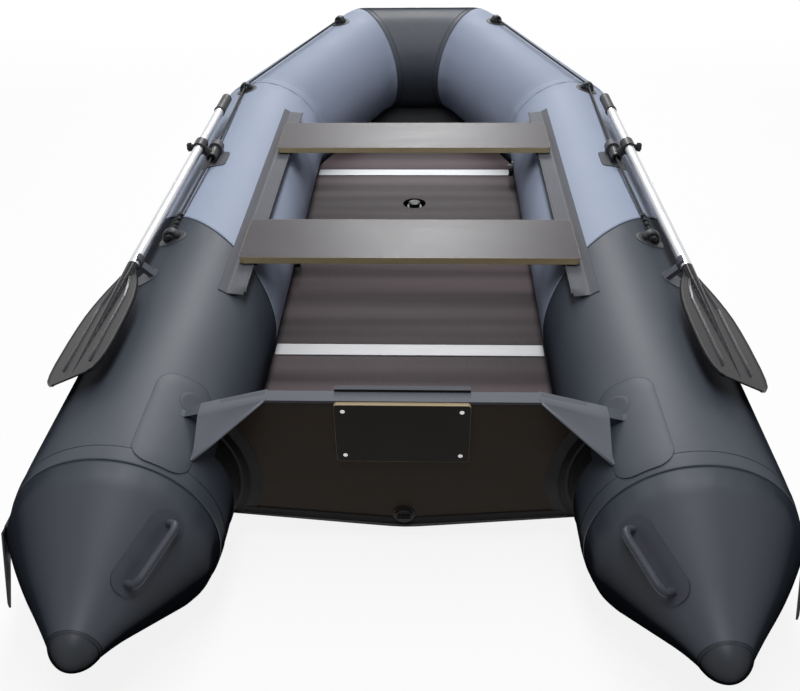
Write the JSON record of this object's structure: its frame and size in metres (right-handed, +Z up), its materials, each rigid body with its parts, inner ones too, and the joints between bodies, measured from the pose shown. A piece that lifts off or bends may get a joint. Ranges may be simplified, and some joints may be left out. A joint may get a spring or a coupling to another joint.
{
  "type": "inflatable dinghy",
  "caption": "Inflatable dinghy with mitred air tubes, plywood floor, raked motor transom, sliding benches and stowed oars on swivelling oarlocks.",
  "frame": {"origin": "on the ground plane under the middle of the hull's box", "axes": "+X to starboard, +Y to the bow, +Z up"},
  "size_m": [1.5626, 3.292, 0.5206],
  "materials": {
    "dark_fabric": "satin coated fabric",
    "light_fabric": "satin coated fabric",
    "black_pvc": "matte moulded PVC",
    "floor_ply": "film-faced plywood with a fine mesh print",
    "bench_ply": "film-faced plywood, raw edges",
    "transom_ply": "lacquered plywood",
    "plate_ply": "black film-faced plywood, raw edges",
    "pale_pvc": "satin",
    "grey_pvc": "satin",
    "alloy": "mill finish",
    "white_alloy": "white satin coat",
    "steel": "bright",
    "black_plastic": "matte moulded",
    "blade_plastic": "semi-gloss moulded",
    "rope": "braided"
  },
  "bodies": {
    "hull": {"port_stern_cone": "dark_fabric", "starboard_stern_cone": "dark_fabric", "port_aft_tube": "dark_fabric", "starboard_aft_tube": "dark_fabric", "bow_tube": "dark_fabric", "bow_baffle": "dark_fabric", "bottom_skin": "dark_fabric", "keel_tube": "dark_fabric", "port_fore_tube": "light_fabric", "starboard_fore_tube": "light_fabric", "port_bow_quarter": "light_fabric", "starboard_bow_quarter": "light_fabric", "end_caps": "black_pvc", "rub_strake": "black_pvc", "transom_flanges": "black_pvc", "grab_handles": "black_pvc", "air_valves": "black_pvc", "keel_valve": "black_pvc", "lifeline_eyelets": "black_pvc", "oar_holders": "black_pvc", "drain_socket": "black_pvc", "floorboard_aft": "floor_ply", "floorboard_mid_aft": "floor_ply", "floorboard_mid_fore": "floor_ply", "floorboard_fore": "floor_ply", "transom_board": "transom_ply", "outer_motor_plate": "plate_ply", "inner_motor_plate": "plate_ply", "transom_capping": "pale_pvc", "gussets": "pale_pvc", "seat_rails": "grey_pvc", "oarlock_bases": "grey_pvc", "floor_joiners": "alloy", "motor_plate_screws": "steel", "lifelines": "rope"},
    "rear_bench": {"rear_bench": "bench_ply", "rear_bench_runners": "grey_pvc"},
    "front_bench": {"front_bench": "bench_ply", "front_bench_runners": "grey_pvc"},
    "drain_plug": {"drain_plug": "black_pvc"},
    "port_valve_cap": {"port_valve_cap": "black_pvc"},
    "starboard_valve_cap": {"starboard_valve_cap": "black_pvc"},
    "keel_valve_cap": {"keel_valve_cap": "black_pvc"},
    "port_oarlock": {"port_oarlock_barrel": "black_plastic"},
    "port_oar": {"port_oar_collar": "black_plastic", "port_oar_upper_shaft": "white_alloy", "port_oar_lower_shaft": "white_alloy", "port_oar_blade": "blade_plastic", "port_oar_grip": "black_plastic"},
    "port_thumb_screw": {"port_thumb_screw": "black_plastic"},
    "port_snap_button": {"port_snap_button": "steel"},
    "starboard_oarlock": {"starboard_oarlock_barrel": "black_plastic"},
    "starboard_oar": {"starboard_oar_collar": "black_plastic", "starboard_oar_upper_shaft": "white_alloy", "starboard_oar_lower_shaft": "white_alloy", "starboard_oar_blade": "blade_plastic", "starboard_oar_grip": "black_plastic"},
    "starboard_thumb_screw": {"starboard_thumb_screw": "black_plastic"},
    "starboard_snap_button": {"starboard_snap_button": "steel"}
  },
  "joints": [
    {"name": "rear_bench_slide", "type": "slide", "parent": "hull", "child": "rear_bench", "axis": [0, 1, 0], "range_m": [-0.105, 0.24]},
    {"name": "front_bench_slide", "type": "slide", "parent": "hull", "child": "front_bench", "axis": [0, 1, 0], "range_m": [-0.25, 0.15]},
    {"name": "port_oar_lift", "type": "hinge", "parent": "hull", "child": "port_oarlock", "pos_m": [-0.61719, 0.0367, 0.43605], "axis": [0, 1, 0], "range_deg": [0, 45], "deforming": ["oar_holders"]},
    {"name": "port_oar_swing", "type": "hinge", "parent": "port_oarlock", "child": "port_oar", "pos_m": [-0.64972, 0.0367, 0.46858], "axis": [0.7071, 0, -0.7071], "range_deg": [0, 105], "deforming": ["oar_holders"]},
    {"name": "port_thumb_screw_turn", "type": "hinge", "parent": "port_oar", "child": "port_thumb_screw", "pos_m": [-0.64972, 0.0367, 0.46858], "axis": [-0.992, 0.0344, -0.1213], "range_deg": [0, 270]},
    {"name": "port_snap_button_press", "type": "slide", "parent": "port_oar", "child": "port_snap_button", "axis": [0.7071, 0, -0.7071], "range_m": [0, 0.003], "stiffness_N_per_m": 1500, "springref_m": -0.002},
    {"name": "starboard_oar_lift", "type": "hinge", "parent": "hull", "child": "starboard_oarlock", "pos_m": [0.61719, 0.0367, 0.43605], "axis": [0, -1, 0], "range_deg": [0, 45], "deforming": ["oar_holders"]},
    {"name": "starboard_oar_swing", "type": "hinge", "parent": "starboard_oarlock", "child": "starboard_oar", "pos_m": [0.64972, 0.0367, 0.46858], "axis": [0.7071, 0, 0.7071], "range_deg": [0, 105], "deforming": ["oar_holders"]},
    {"name": "starboard_thumb_screw_turn", "type": "hinge", "parent": "starboard_oar", "child": "starboard_thumb_screw", "pos_m": [0.64972, 0.0367, 0.46858], "axis": [0.992, 0.0344, -0.1213], "range_deg": [0, 270]},
    {"name": "starboard_snap_button_press", "type": "slide", "parent": "starboard_oar", "child": "starboard_snap_button", "axis": [-0.7071, 0, -0.7071], "range_m": [0, 0.003], "stiffness_N_per_m": 1500, "springref_m": -0.002},
    {"name": "port_valve_cap_turn", "type": "hinge", "parent": "hull", "child": "port_valve_cap", "pos_m": [-0.34835, -0.1433, 0.17176], "axis": [0.9848, 0, -0.1738], "range_deg": [0, 90]},
    {"name": "starboard_valve_cap_turn", "type": "hinge", "parent": "hull", "child": "starboard_valve_cap", "pos_m": [0.34835, 0.5367, 0.17176], "axis": [-0.9848, 0, -0.1738], "range_deg": [0, 90]},
    {"name": "keel_valve_cap_turn", "type": "hinge", "parent": "hull", "child": "keel_valve_cap", "pos_m": [0, 0.3457, 0.13], "axis": [0, 0, 1], "range_deg": [0, 90]},
    {"name": "drain_plug_turn", "type": "hinge", "parent": "hull", "child": "drain_plug", "pos_m": [0, -1.14431, 0.0833], "axis": [0, -0.9962, -0.0872], "range_deg": [0, 90]}
  ]
}
